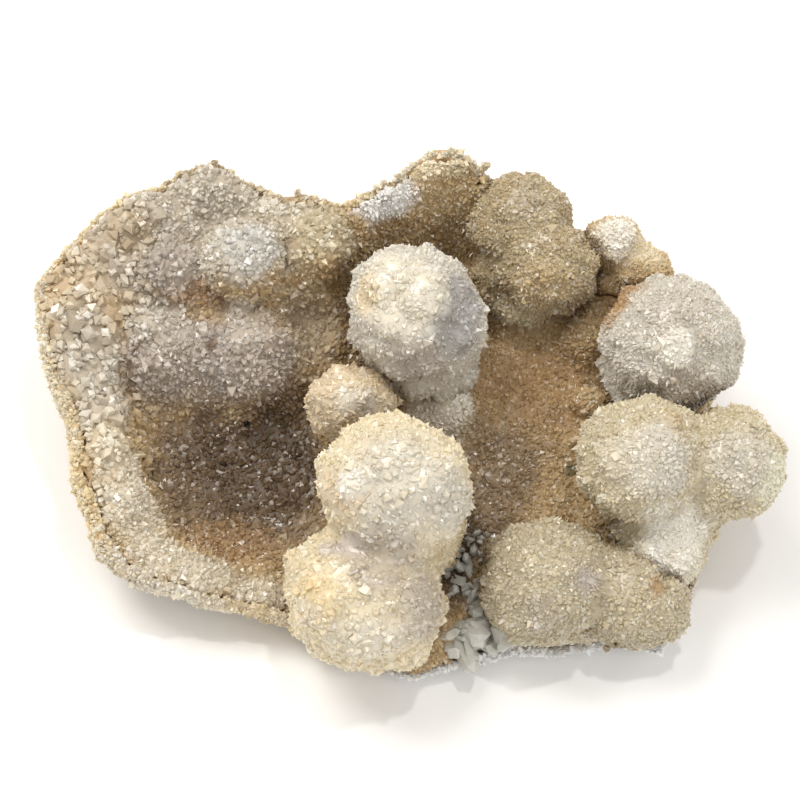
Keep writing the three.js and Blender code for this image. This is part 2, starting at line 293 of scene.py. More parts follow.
class Graph:
    """The node tree of one material."""

    def __init__(self, name: str) -> None:
        """Makes an empty material."""
        self.material = bpy.data.materials.new(name)
        self.material.use_nodes = True
        self.tree = self.material.node_tree
        self.tree.nodes.clear()

    def node(self, kind: str, settings: dict[str, Any], sockets: Sockets, output: int | str = 0) -> Wire:
        """Adds a node.

        Args:
            kind: Blender's name of the node type.
            settings: Its properties, and "stops" for a ramp's positions and colours. They are set first.
            sockets: A value or a wire for each input, by name or number.
            output: The output that is wanted.

        Returns:
            The wanted output.
        """
        made = self.tree.nodes.new(kind)
        for name, value in settings.items():
            if name == "stops":
                self._set_stops(made.color_ramp, value)
            else:
                setattr(made, name, value)
        for name, value in sockets.items():
            if isinstance(value, Wire):
                self.tree.links.new(value.socket, made.inputs[name])
            else:
                made.inputs[name].default_value = value
        return Wire(self, made.outputs[output]) if made.outputs else None

    @staticmethod
    def _set_stops(ramp: bpy.types.ColorRamp, stops: Sequence[tuple[float, float]]) -> None:
        """Gives a ramp its stops, each a position and a grey."""
        while len(ramp.elements) < len(stops):
            ramp.elements.new(0.5)
        for element, (position, grey) in zip(ramp.elements, stops):
            element.position = position
            element.color = (grey, grey, grey, 1)

    def attribute(self, name: str, output: str) -> Wire:
        """Reads a value that a mesh carries."""
        return self.node("ShaderNodeAttribute", {"attribute_name": name}, {}, output)

    def noise(self, scale: float, detail: float, roughness: float = 0.5) -> Wire:
        """Noise in the object's own space, from 0 to 1."""
        place = self.node("ShaderNodeTexCoord", {}, {}, "Object")
        sockets = {"Vector": place, "Scale": scale, "Detail": detail, "Roughness": roughness}
        return self.node("ShaderNodeTexNoise", {}, sockets)

    def contrast(self, value: Wire, stops: Sequence[tuple[float, float]]) -> Wire:
        """Sends a value through a grey ramp."""
        return self.node("ShaderNodeValToRGB", {"stops": stops}, {"Fac": value})

    def blend(
        self, share: Wire | float, first: Wire | Colour, second: Wire | Colour, kind: str = "MIX"
    ) -> Wire:
        """Mixes the first colour, which shows at share 0, with the second, in one of Blender's ways."""
        settings = {"data_type": "RGBA", "blend_type": kind}
        return self.node("ShaderNodeMix", settings, {0: share, 6: first, 7: second}, 2)

    def stain(self, colour: Wire, red: float, green: float, blue: float) -> Wire:
        """Multiplies a colour by a share of red, of green and of blue."""
        return self.blend(1.0, colour, (red, green, blue, 1), "MULTIPLY")

    def bump(self, strength: float, distance: float, height: Wire) -> Wire:
        """Roughens the surface by a height, up to a distance in metres."""
        return self.node("ShaderNodeBump", {}, {"Strength": strength, "Distance": distance, "Height": height})

    def shine(self, sockets: Sockets, volume: Wire | None = None) -> Material:
        """Ends the graph in a Principled shader, and in a volume where one fills the inside."""
        shader = self.node("ShaderNodeBsdfPrincipled", {}, sockets)
        ends = {"Surface": shader} if volume is None else {"Surface": shader, "Volume": volume}
        self.node("ShaderNodeOutputMaterial", {}, ends)
        return self.material


@dataclass(frozen=True)
class Finish:
    """A named material, which each kind of finish draws in its own way."""

    name: str

    def material(self) -> Material:
        """Builds the material."""
        return self.drawn(Graph(self.name))

    def drawn(self, graph: Graph) -> Material:
        """Draws the finish in an empty graph and ends it."""
        raise NotImplementedError


@dataclass(frozen=True)
class CrystalFinish(Finish):
    """Small glassy crystals that take their tone from the mesh."""

    transmission: float
    roughness: float
    softness: float = 0.5
    depth: float = 0.003
    spread: float = 0.26
    tip_white: float = 0.5

    def drawn(self, graph: Graph) -> Material:
        """Draws the finish."""
        tint = graph.attribute("tint", "Color")
        grain = graph.attribute("grain", "Fac")
        rise = graph.attribute("rise", "Fac")
        low = 1 - self.spread
        high = 1 + 0.6 * self.spread
        dim = graph.stain(tint, low, low * 0.97, low * 0.93)
        bright = graph.stain(tint, high, high, high)
        body = graph.blend(grain, dim, bright)
        glow = graph.blend(1.0, body, body, "SCREEN")
        veil = graph.contrast(graph.noise(1400, 3), [(0.42, 0), (0.62, 1)])
        # Painted glints: a few crystals, picked by their grain, are lightened towards white to stand for
        # sparkles of light.
        pale = graph.contrast(grain, [(0.84, 0), (0.9, 1)])
        # Painted light and shade: each crystal lightens towards its tip, as if lit through its thin end, and
        # stays darker at its root.
        body = graph.blend(rise * self.tip_white + veil * 0.2, body, glow)
        body = graph.blend(pale * 0.3, body, (0.86, 0.84, 0.8, 1))
        rough = self.roughness + 0.22 * graph.noise(900, 2)
        return graph.shine(
            {
                "Base Color": body,
                "Roughness": rough,
                "Normal": graph.bump(0.18, 0.0002, graph.noise(2600, 2)),
                "Transmission Weight": self.transmission,
                "IOR": 1.53,
                "Subsurface Weight": self.softness,
                "Subsurface Radius": (1.0, 0.86, 0.66),
                "Subsurface Scale": self.depth,
            }
        )


@dataclass(frozen=True)
class GroundFinish(Finish):
    """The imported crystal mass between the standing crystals."""
    shade: float = 0.62

    def drawn(self, graph: Graph) -> Material:
        """Draws the finish."""
        tint = graph.attribute("tint", "Color")
        shaded = graph.stain(tint, self.shade, self.shade * 0.95, self.shade * 0.88)
        mottle = graph.contrast(graph.noise(700, 4), [(0.35, 0), (0.7, 1)])
        body = graph.blend(mottle * 0.5, shaded, tint)
        bump = graph.bump(0.6, 0.0006, graph.noise(1100, 4))
        return graph.shine({"Base Color": body, "Roughness": 0.35 + 0.3 * mottle, "Normal": bump})


@dataclass(frozen=True)
class RockFinish(Finish):
    """Broken host rock with a thin cream rind."""

    def drawn(self, graph: Graph) -> Material:
        """Draws the finish."""
        tint = graph.attribute("tint", "Color")
        mottle = graph.contrast(graph.noise(160, 6, 0.62), [(0.36, 0), (0.66, 1)])
        pits = graph.contrast(graph.noise(620, 5, 0.6), [(0.33, 1), (0.47, 0)])
        body = graph.blend(mottle * 0.7, tint, graph.stain(tint, 0.72, 0.62, 0.5))
        body = graph.blend(pits * 0.6, body, graph.stain(tint, 0.36, 0.28, 0.21))
        grit = graph.contrast(graph.noise(380, 4), [(0.6, 0), (0.72, 1)])
        body = graph.blend(grit * 0.5, body, (0.86, 0.8, 0.68, 1))
        height = graph.noise(500, 6, 0.65) + mottle * 0.5 - pits * 0.4
        bump = graph.bump(0.8, 0.0009, height)
        return graph.shine({"Base Color": body, "Roughness": 0.78 + 0.16 * mottle, "Normal": bump})


@dataclass(frozen=True)
class ClearFinish(Finish):
    """Clear blades with a faint green-grey body."""

    def drawn(self, graph: Graph) -> Material:
        """Draws the finish."""
        grain = graph.attribute("grain", "Fac")
        body = graph.blend(grain, (0.84, 0.83, 0.75, 1), (0.97, 0.96, 0.9, 1))
        rough = 0.04 + 0.14 * graph.noise(900, 3)
        tinted = {"Color": (0.9, 0.92, 0.86, 1), "Density": 12.0}
        absorbing = graph.node("ShaderNodeVolumeAbsorption", {}, tinted, "Volume")
        sockets = {"Base Color": body, "Roughness": rough, "Transmission Weight": 0.5, "IOR": 1.54}
        return graph.shine(sockets, absorbing)


@dataclass(frozen=True)
class FloorFinish(Finish):
    """A pale matt table top."""

    def drawn(self, graph: Graph) -> Material:
        """Draws the finish."""
        mottle = graph.noise(30, 3)
        body = graph.blend(mottle, (0.86, 0.86, 0.86, 1), (0.89, 0.89, 0.89, 1))
        return graph.shine({"Base Color": body, "Roughness": 0.9})


@dataclass
class Fabric:
    """Arrays that a mesh is made of: points, triangles, what points carry and which triangles are flat."""

    points: Array
    faces: Array
    tint: Array
    grain: Array
    rise: Array
    flat: Array

    @staticmethod
    def joined(parts: Sequence[Fabric]) -> Fabric:
        """Puts several meshes in one."""
        starts = np.cumsum([0] + [len(part.points) for part in parts[:-1]])
        shifted = [replace(part, faces=part.faces + start) for part, start in zip(parts, starts)]
        names = [column.name for column in fields(Fabric)]
        return Fabric(*(np.concatenate([getattr(part, name) for part in shifted]) for name in names))

    def piece(self, name: str, material: Material, replaced: Sequence[str], slot: str) -> bpy.types.Object:
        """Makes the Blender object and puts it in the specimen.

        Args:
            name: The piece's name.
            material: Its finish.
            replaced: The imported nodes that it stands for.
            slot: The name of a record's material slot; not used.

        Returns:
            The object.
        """
        mesh = bpy.data.meshes.new(name)
        mesh.vertices.add(len(self.points))
        mesh.vertices.foreach_set("co", self.points.astype(np.float32).ravel())
        mesh.loops.add(3 * len(self.faces))
        mesh.loops.foreach_set("vertex_index", self.faces.astype(np.int32).ravel())
        mesh.polygons.add(len(self.faces))
        mesh.polygons.foreach_set("loop_start", np.arange(0, 3 * len(self.faces), 3, dtype=np.int32))
        mesh.update(calc_edges=True)
        sharp = mesh.attributes.new("sharp_face", "BOOLEAN", "FACE")
        sharp.data.foreach_set("value", self.flat)
        opaque = np.ones((len(self.tint), 1))
        tint = mesh.attributes.new("tint", "FLOAT_COLOR", "POINT")
        tint.data.foreach_set("color", np.hstack([self.tint, opaque]).astype(np.float32).ravel())
        for label, values in (("grain", self.grain), ("rise", self.rise)):
            carried = mesh.attributes.new(label, "FLOAT", "POINT")
            carried.data.foreach_set("value", values.astype(np.float32))
        mesh.materials.append(material)
        made = placed(name, mesh)
        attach(made, "root")
        if replaced:
            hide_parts(*replaced)
        log.info("%s: %d triangles", name, len(self.faces))
        return made


@dataclass
class Skin:
    """A smooth closed surface that crystals grow from."""

    points: Array
    normals: Array
    faces: Array

    @staticmethod
    def of(nodes: Sequence[str], voxel: float, smoothing: int) -> Skin:
        """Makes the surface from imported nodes.

        Args:
            nodes: The nodes whose joined form it takes.
            voxel: The size of its cells.
            smoothing: How many times it is smoothed.

        Returns:
            The surface.
        """
        mesh = bpy.data.meshes.new("form")
        points, faces = solid(nodes)
        mesh.from_pydata(points, [], faces)
        form = placed("form", mesh)
        remesh = form.modifiers.new("cells", "REMESH")
        remesh.mode = "VOXEL"
        remesh.voxel_size = voxel
        smooth = form.modifiers.new("smooth", "SMOOTH")
        smooth.factor = 0.5
        smooth.iterations = smoothing
        shaped = form.evaluated_get(bpy.context.evaluated_depsgraph_get()).to_mesh()
        shaped.calc_loop_triangles()
        found = np.zeros(3 * len(shaped.vertices), np.float32)
        shaped.vertices.foreach_get("co", found)
        corners = np.zeros(3 * len(shaped.loop_triangles), np.int32)
        shaped.loop_triangles.foreach_get("vertices", corners)
        skin = Skin(found.reshape(-1, 3).astype(float), np.zeros((1, 3)), corners.reshape(-1, 3))
        bpy.data.objects.remove(form)
        bpy.data.meshes.remove(mesh)
        skin.turn_outward()
        return skin

    def turn_outward(self) -> None:
        """Works out the normals again."""
        a, b, c = (self.points[self.faces[:, i]] for i in range(3))
        facing = np.cross(b - a, c - a)
        normals = np.zeros_like(self.points)
        for i in range(3):
            np.add.at(normals, self.faces[:, i], facing)
        length = np.linalg.norm(normals, axis=1, keepdims=True)
        self.normals = normals / np.maximum(length, 1e-12)

    def lump(self, height: float, size: float, seed: int) -> None:
        """Swells and sinks the surface in soft lumps."""
        self.push(height * 2 * (cloud(self.points, size, seed) - 0.5))

    def push(self, distance: Array) -> None:
        """Moves each point outward by its own distance."""
        self.points = self.points + self.normals * distance[:, None]
        self.turn_outward()

    def keep(self, kept: Array) -> Seats:
        """Takes some of the surface's points as seats for crystals."""
        return Seats(self.points[kept], self.normals[kept])


@dataclass
class Seats:
    """Places where crystals stand: where, which way, how large and in what tone."""

    points: Array
    normals: Array
    size: Array = field(default_factory=lambda: np.zeros(0))
    tint: Array = field(default_factory=lambda: np.zeros((0, 3)))

    def chosen(self, kept: Array) -> Seats:
        """Takes some of the seats."""
        return Seats(self.points[kept], self.normals[kept], self.size[kept], self.tint[kept])


class Shadow:
    """How open each place of the specimen is to the sky around it."""

    def __init__(self) -> None:
        """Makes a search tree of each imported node, and one of them all."""
        self.trees = {name: BVHTree.FromPolygons(*solid([name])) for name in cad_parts}
        self.tree = BVHTree.FromPolygons(*solid(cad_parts))

    def openness(
        self, seats: Seats, reach: float = 0.016, rays: int = 16, raised: float = 0.0022, shared: int = 14
    ) -> Array:
        """Casts rays from each seat and counts those that get away.

        Args:
            seats: The places.
            reach: How far a ray goes.
            rays: How many rays each place sends.
            raised: How far above its seat a ray starts.
            shared: Over how many neighbours the count is evened out.

        Returns:
            A share from 0, shut in, to 1, open, for each place.
        """
        random = np.random.default_rng(17)
        spread = unit(random.normal(size=(len(seats.points), rays, 3)))
        aims = unit(spread + 1.15 * seats.normals[:, None, :])
        starts = seats.points + seats.normals * raised
        clear = np.zeros(len(seats.points))
        cast = self.tree.ray_cast
        for i, (start, around) in enumerate(zip(starts.tolist(), aims.tolist())):
            clear[i] = sum(cast(start, aim, reach)[0] is None for aim in around)
        near = KDTree(len(clear))
        for i, place in enumerate(seats.points.tolist()):
            near.insert(place, i)
        near.balance()
        found = (near.find_n(place, shared) for place in seats.points.tolist())
        return np.array([np.mean([clear[i] for _, i, _ in around]) for around in found]) / rays

    def apart(self, points: Array, nodes: Sequence[str], distance: float) -> Array:
        """Says which places are outside all of some nodes and further than a distance from them.

        Args:
            points: The places.
            nodes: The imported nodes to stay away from.
            distance: How far is far enough.

        Returns:
            True or False for each place.
        """
        far = np.ones(len(points), bool)
        for node in nodes:
            tree = self.trees[node]
            for i, place in zip(np.flatnonzero(far), points[far].tolist()):
                above = tree.ray_cast(place, (0, 0, 1))[1]
                outside = above is None or above.z <= 0
                far[i] = outside and tree.find_nearest(place, distance)[0] is None
        return far


@dataclass(frozen=True)
class Habit:
    """The form of one kind of crystal: rings from the root up, each a radius and a height, and a tip."""

    sides: int
    rings: tuple[tuple[float, float], ...]
    tip: float
    flatness: tuple[float, float] = (0.8, 1.0)
    unevenness: float = 0.16

    def template(self) -> tuple[Array, Array, Array]:
        """Works out the crystal's closed mesh at unit size.

        Returns:
            Its points, its triangles and how high each point is, from 0 to 1.
        """
        turns = np.arange(self.sides) * 2 * math.pi / self.sides
        points: list[Point] = []
        for radius, height in self.rings:
            points += [(radius * math.cos(turn), radius * math.sin(turn), height) for turn in turns]
        points.append((0.0, 0.0, self.tip))
        last = len(points) - 1
        top = (len(self.rings) - 1) * self.sides
        faces = [(0, side + 2, side + 1) for side in range(self.sides - 2)]
        for side in range(self.sides):
            after = (side + 1) % self.sides
            for start in range(0, top, self.sides):
                a, b = start + side, start + after
                faces += [(a, b, b + self.sides), (a, b + self.sides, a + self.sides)]
            faces.append((top + side, top + after, last))
        shape = np.array(points)
        return shape, np.array(faces), np.clip(shape[:, 2] / self.tip, 0, 1)

    def grown(self, seats: Seats, tilt: float, height: tuple[float, float], seed: int) -> Fabric:
        """Stands one crystal on each seat.

        Args:
            seats: Where they stand.
            tilt: How far they lean at random.
            height: Their least and greatest height, as a share of their size.
            seed: Which random crystals they are.

        Returns:
            The joined crystals.
        """
        random = np.random.default_rng(seed)
        count = len(seats.points)
        shape, faces, rise = self.template()
        axis = unit(seats.normals + tilt * random.normal(size=(count, 3)))
        across = unit(np.cross(axis, random.normal(size=(count, 3))))
        beside = np.cross(axis, across)
        width = seats.size * random.uniform(*self.flatness, count)
        tall = seats.size * random.uniform(*height, count)
        scale = np.stack([seats.size, width, tall], axis=1)
        local = shape[None] * scale[:, None, :]
        local[:, :-1] *= random.uniform(1 - self.unevenness, 1 + self.unevenness, (count, len(shape) - 1, 3))
        local[:, -1, :2] += (0.22 * seats.size)[:, None] * random.normal(size=(count, 2))
        points = (
            seats.points[:, None, :]
            + local[..., :1] * across[:, None, :]
            + local[..., 1:2] * beside[:, None, :]
            + local[..., 2:] * axis[:, None, :]
        )
        starts = np.arange(count) * len(shape)
        return Fabric(
            points.reshape(-1, 3),
            (faces[None] + starts[:, None, None]).reshape(-1, 3),
            np.repeat(seats.tint, len(shape), axis=0),
            np.repeat(random.uniform(0, 1, count), len(shape)),
            np.tile(rise, count),
            np.ones(count * len(faces), bool),
        )


POINTED = Habit(5, ((1.15, -0.45),), 1.0)
STUBBY = Habit(4, ((0.9, -0.6), (0.8, 0.4)), 0.85)
BLOCKY = Habit(4, ((0.95, -0.7), (0.85, 0.6)), 0.8, (0.5, 1.0), 0.2)
BLADED = Habit(6, ((0.8, -0.6), (0.85, 0.9)), 1.3, (0.4, 0.8), 0.12)


@dataclass
class CrystalCoat:
    """A coat of standing crystals with the mass that they grow from."""

    name: str
    nodes: Sequence[str]
    ground: Tone
    patches: Sequence[Patch]
    voxel: float = 0.0012
    smoothing: int = 14
    lump_height: float = 0.0007
    lump_size: float = 0.006
    tilt: float = 0.36
    height: tuple[float, float] = (0.7, 1.55)
    seed: int = 1
    knobs: Sequence[Knob] = ()
    fill: float = 0.0
    hidden_by: Sequence[str] = ()
    backed_by: Sequence[str] = ()
    clearance: float = 0.0011
    test_height: float = 0.0008
    mass_voxel: float = 0.00145
    mass_smoothing: int = 4

    def coarseness(self, points: Array) -> Array:
        """How many times larger than usual the crystals are at each place."""
        return np.ones(len(points))

    def wanted(self, points: Array) -> Array:
        """Says at which places crystals stand at all."""
        return np.ones(len(points), bool)

    def form(self, voxel: float, smoothing: int) -> Skin:
        """Makes the lumpy surface that the crystals grow from, in cells of one size, smoothed some times."""
        skin = Skin.of(self.nodes, voxel, smoothing)
        for knob in self.knobs:
            skin.push(knob.lift(skin.points))
        skin.lump(self.lump_height, self.lump_size, self.seed)
        return skin

    def seats(self, shadow: Shadow) -> Seats:
        """Finds the seats and gives them sizes, and tones darkened by painted shade where they are shut in.

        Args:
            shadow: Where the specimen is shut in.

        Returns:
            The seats.
        """
        random = np.random.default_rng(self.seed)
        voxel = self.voxel * 1
        skin = self.form(voxel, self.smoothing)
        coarse = self.coarseness(skin.points)
        thinned = random.uniform(size=len(coarse)) < 1 / coarse**2
        raised = skin.points + self.test_height * skin.normals
        thinned &= self.wanted(skin.points)
        thinned[thinned] = shadow.apart(raised[thinned], self.hidden_by, self.clearance)
        facing_up = skin.normals[:, 2] > 0.15
        seats = skin.keep(thinned & (facing_up | shadow.apart(skin.points, self.backed_by, self.clearance)))
        wander = random.normal(size=seats.points.shape)
        wander -= seats.normals * np.sum(wander * seats.normals, axis=1, keepdims=True)
        seats.points = seats.points + 0.3 * voxel * wander
        opening = shadow.openness(seats)
        tint = painted(seats.points, self.ground, self.patches)
        # Painted shade: where few rays get away, in hollows, creases and between balls, the tones turn darker
        # and warmer.
        shade = smoothstep(0.1, 0.8, opening)[:, None]
        seats.tint = tint * (0.35 + 0.65 * shade) * (1 - (1 - shade) * np.array([0.0, 0.1, 0.22]))
        coarse = self.coarseness(seats.points)
        seats.size = voxel * coarse * np.exp(random.normal(-0.26, 0.24, len(coarse)))
        return seats

    def mass(self) -> Fabric:
        """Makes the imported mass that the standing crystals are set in."""
        skin = self.form(self.mass_voxel, self.mass_smoothing)
        points = skin.points + skin.normals * self.fill
        tint = painted(points, self.ground, self.patches)
        level = np.full(len(points), 0.5)
        return Fabric(points, skin.faces, tint, level, level, np.zeros(len(skin.faces), bool))

    def crystals(self, seats: Seats) -> Fabric:
        """Grows pointed and stubby crystals on the seats and joins them."""
        random = np.random.default_rng(self.seed + 50)
        pointed = random.uniform(size=len(seats.points)) < 0.5
        return Fabric.joined(
            [
                POINTED.grown(seats.chosen(pointed), self.tilt, self.height, self.seed + 1),
                STUBBY.grown(seats.chosen(~pointed), self.tilt, self.height, self.seed + 2),
            ]
        )


@dataclass
class BallGrowth(CrystalCoat):
    """A closed ball of crystals, or several grown together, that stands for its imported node."""

    voxel: float = 0.00084
    lump_height: float = 0.0012
    fill: float = 0.0002
    breadth: float = 1.0

    def coarseness(self, points: Array) -> Array:
        """Makes all crystals of the ball equally broad."""
        return np.full(len(points), self.breadth)

    def build(self, shadow: Shadow, finish: Material) -> None:
        """Makes the ball as one piece, of one finish."""
        seats = self.seats(shadow)
        whole = Fabric.joined([self.mass(), self.crystals(seats)])
        whole.piece(self.name, finish, self.nodes, "ball_crystal")


@dataclass
class DruseCrust(CrystalCoat):
    """The crust that lines the plate, in one mass with several coats of crystals."""

    def coarseness(self, points: Array) -> Array:
        """Grades the crystals: large on the left rim, middling on shelf and cheeks, fine on the right."""
        own = points / MM - np.array(PLATE_ORIGIN_MM)
        rim = 1 - smoothstep(-70, -56, own[:, 0] + 0.35 * np.clip(-own[:, 1] - 14, 0, 60))
        shelf = (1 - smoothstep(-22, -6, own[:, 0])) * smoothstep(0, 14, own[:, 1])
        return 1 + 0.2 * (1 - smoothstep(-20, 10, own[:, 0])) + 0.2 * shelf + 0.7 * rim

    def build(self, shadow: Shadow, mass_finish: Material, finish: Material) -> None:
        """Makes the crust's mass and its coats.

        Args:
            shadow: Where the specimen is shut in.
            mass_finish: The material of the mass.
            finish: The material of the crystals.
        """
        self.mass().piece("druse_mass", mass_finish, self.nodes, "druse_crystal")
        seats = self.seats(shadow)
        picked = np.random.default_rng(91).uniform(size=len(seats.points)) < 0.55
        large = picked & (self.coarseness(seats.points) > 1.6)
        own_x = seats.points[:, 0] / MM - PLATE_ORIGIN_MM[0]
        for name, low, high in (("druse_left", -200, -44), ("druse_middle", -44, 8), ("druse_right", 8, 200)):
            here = (own_x >= low) & (own_x < high)
            parts = [self.crystals(seats.chosen(here & ~large))]
            if (here & large).any():
                parts.append(BLOCKY.grown(seats.chosen(here & large), 0.4, (0.9, 1.5), 23))
            Fabric.joined(parts).piece(name, finish, (), "druse_crystal")


class Rim:
    """How high the plate's broken edge stands all around it."""

    def __init__(self, sectors: int = 60) -> None:
        """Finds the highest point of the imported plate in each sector."""
        points = np.array(solid(["matrix"])[0])
        self.turns = (np.arange(sectors) + 0.5) / sectors
        around = np.minimum((self._turn(points) * sectors).astype(int), sectors - 1)
        self.heights = np.array([points[around == i, 2].max(initial=0) for i in range(sectors)])

    @staticmethod
    def _turn(points: Array) -> Array:
        """The direction of each place from the plate's middle, from 0 to 1."""
        return np.arctan2(points[:, 1], points[:, 0]) / (2 * math.pi) % 1

    def below(self, points: Array) -> Array:
        """How far below the edge each place is, in metres."""
        return np.interp(self._turn(points), self.turns, self.heights, period=1) - points[:, 2]


@dataclass
class CreamRind(CrystalCoat):
    """The fine cream crystals that cover the outer flank of the plate near its rim."""

    rim: Rim = field(default_factory=Rim)
    least_width: float = 0.004
    sway: float = 0.012
    scatter: float = 0.003
    foot: float = 0.0016

    def wanted(self, points: Array) -> Array:
        """Leaves only the upper flank, with a ragged lower edge."""
        strays = np.random.default_rng(44).uniform(size=len(points))
        ragged = self.least_width + self.sway * cloud(points, 0.009, 4) + self.scatter * strays
        return (self.rim.below(points) < ragged) & (points[:, 2] > self.foot)

    def build(self, shadow: Shadow, finish: Material) -> None:
        """Makes the rind as one piece, of one finish."""
        self.crystals(self.seats(shadow)).piece(self.name, finish, (), "matrix_rock")


@dataclass
class TroughBlades:
    """The larger clear blades that stand in the dark trough at the front."""

    name: str
    centre_mm: Point
    reach_mm: float
    count: int
    size: float

    def build(self, crust: Skin, finish: Material) -> None:
        """Makes the blades as one piece.

        Args:
            crust: The surface that they stand on.
            finish: Their material.
        """
        random = np.random.default_rng(41)
        away = (crust.points - in_part(self.centre_mm)) / np.array([1.0, 0.8, 1.0])
        near = np.linalg.norm(away, axis=1) < self.reach_mm * MM
        usable = np.flatnonzero(near & (crust.normals[:, 2] > 0.25))
        seats = crust.keep(random.choice(usable, min(self.count, len(usable)), replace=False))
        seats.size = self.size * np.exp(random.normal(-0.2, 0.3, len(seats.points)))
        seats.tint = np.repeat(Tone.SILVER.light[None, :], len(seats.points), axis=0)
        BLADED.grown(seats, 0.6, (1.0, 1.7), 42).piece(self.name, finish, (), "druse_crystal")


@dataclass
class RockPlate:
    """The broken plate of host rock under and around the crystals."""

    voxel: float = 0.0012
    patches: Sequence[Patch] = ()

    def build(self, finish: Material) -> None:
        """Makes the rock as one piece, of one finish."""
        skin = Skin.of(["matrix"], self.voxel, smoothing=3)
        free = smoothstep(0.0004, 0.004, skin.points[:, 2])
        own = skin.points
        chips = np.floor(5 * cloud(own, 0.012, 5)) / 5 + 0.35 * cloud(own, 0.0045, 6)
        bare = smoothstep(0.007, 0.014, Rim().below(own))
        push = (0.0003 + 0.0049 * bare) * (chips - 0.6)
        push += (0.0002 + 0.0008 * bare) * (value_noise(own, 0.0035, 8) - 0.5)
        skin.points = own + skin.normals * (push * free)[:, None]
        skin.points[:, 2] = np.maximum(skin.points[:, 2], 0)
        tint = painted(skin.points, Tone.STONE, self.patches)
        blank = np.zeros(len(tint))
        rock = Fabric(skin.points, skin.faces, tint, blank, blank, np.ones(len(skin.faces), bool))
        rock.piece("rock_plate", finish, ["matrix"], "matrix_rock")


@dataclass
class Studio:
    """The camera, the floor and the soft lights."""

    distance: float = 0.52
    elevation: float = VIEW_ELEVATION
    target_mm: Point = (0.0, 0.0, 25.0)

    def camera(self) -> None:
        """Places the camera at the picture's viewing angle."""
        lens = bpy.data.cameras.new("camera")
        lens.sensor_width = 36
        lens.lens = 36 * self.distance / (PICTURE_SIDE * MM_PER_PIXEL * MM)
        camera = placed("camera", lens)
        angle = math.radians(self.elevation)
        back = Vector((0, -math.cos(angle), math.sin(angle)))
        target = Vector(in_part(self.target_mm))
        camera.location = target + back * self.distance
        camera.rotation_euler = (-back).to_track_quat("-Z", "Y").to_euler()
        bpy.context.scene.camera = camera

    def floor(self) -> None:
        """Lays a pale floor that curves up far behind."""
        bends = [math.radians(6 * step) for step in range(16)]
        arc = [(0.9 + 0.7 * math.sin(bend), 0.7 * (1 - math.cos(bend))) for bend in bends]
        profile = [(-1.6, 0.0), *arc, (1.6, 1.8)]
        points = [(x, y, z) for y, z in profile for x in (-2.5, 2.5)]
        faces = [(2 * i, 2 * i + 1, 2 * i + 3, 2 * i + 2) for i in range(len(profile) - 1)]
        mesh = bpy.data.meshes.new("floor")
        mesh.from_pydata(points, [], faces)
        mesh.materials.append(FloorFinish("floor_top").material())
        ground = placed("floor", mesh)

    def lamp(self, name: str, place: Point, side: float, power: float, colour: Point) -> None:
        """Hangs a square lamp that faces the specimen."""
        light = bpy.data.lights.new(name, "AREA")
        light.size = side
        light.energy = power
        light.color = colour
        lamp = placed(name, light)
        lamp.location = place
        lamp.rotation_euler = (-Vector(place)).to_track_quat("-Z", "Y").to_euler()

    def light(self) -> None:
        """Sets a pale sky, the lamps and plain colours without film curves."""
        bpy.context.scene.view_settings.view_transform = "Standard"
        sky = bpy.data.worlds.new("studio")
        sky.use_nodes = True
        background = sky.node_tree.nodes["Background"].inputs
        background["Color"].default_value = (1.0, 0.98, 0.945, 1)
        background["Strength"].default_value = 0.76
        bpy.context.scene.world = sky
        self.lamp("key", (-0.35, 0.25, 0.75), 0.4, 4.6, (1.0, 0.965, 0.91))
        self.lamp("fill", (0.6, -0.5, 0.6), 0.6, 1.8, (1.0, 0.99, 0.98))
        self.lamp("glint", (0.15, 0.1, 0.9), 0.05, 1.6, (1.0, 0.98, 0.95))

    def build(self) -> None:
        """Makes the whole studio."""
        self.camera()
        self.floor()
        self.light()


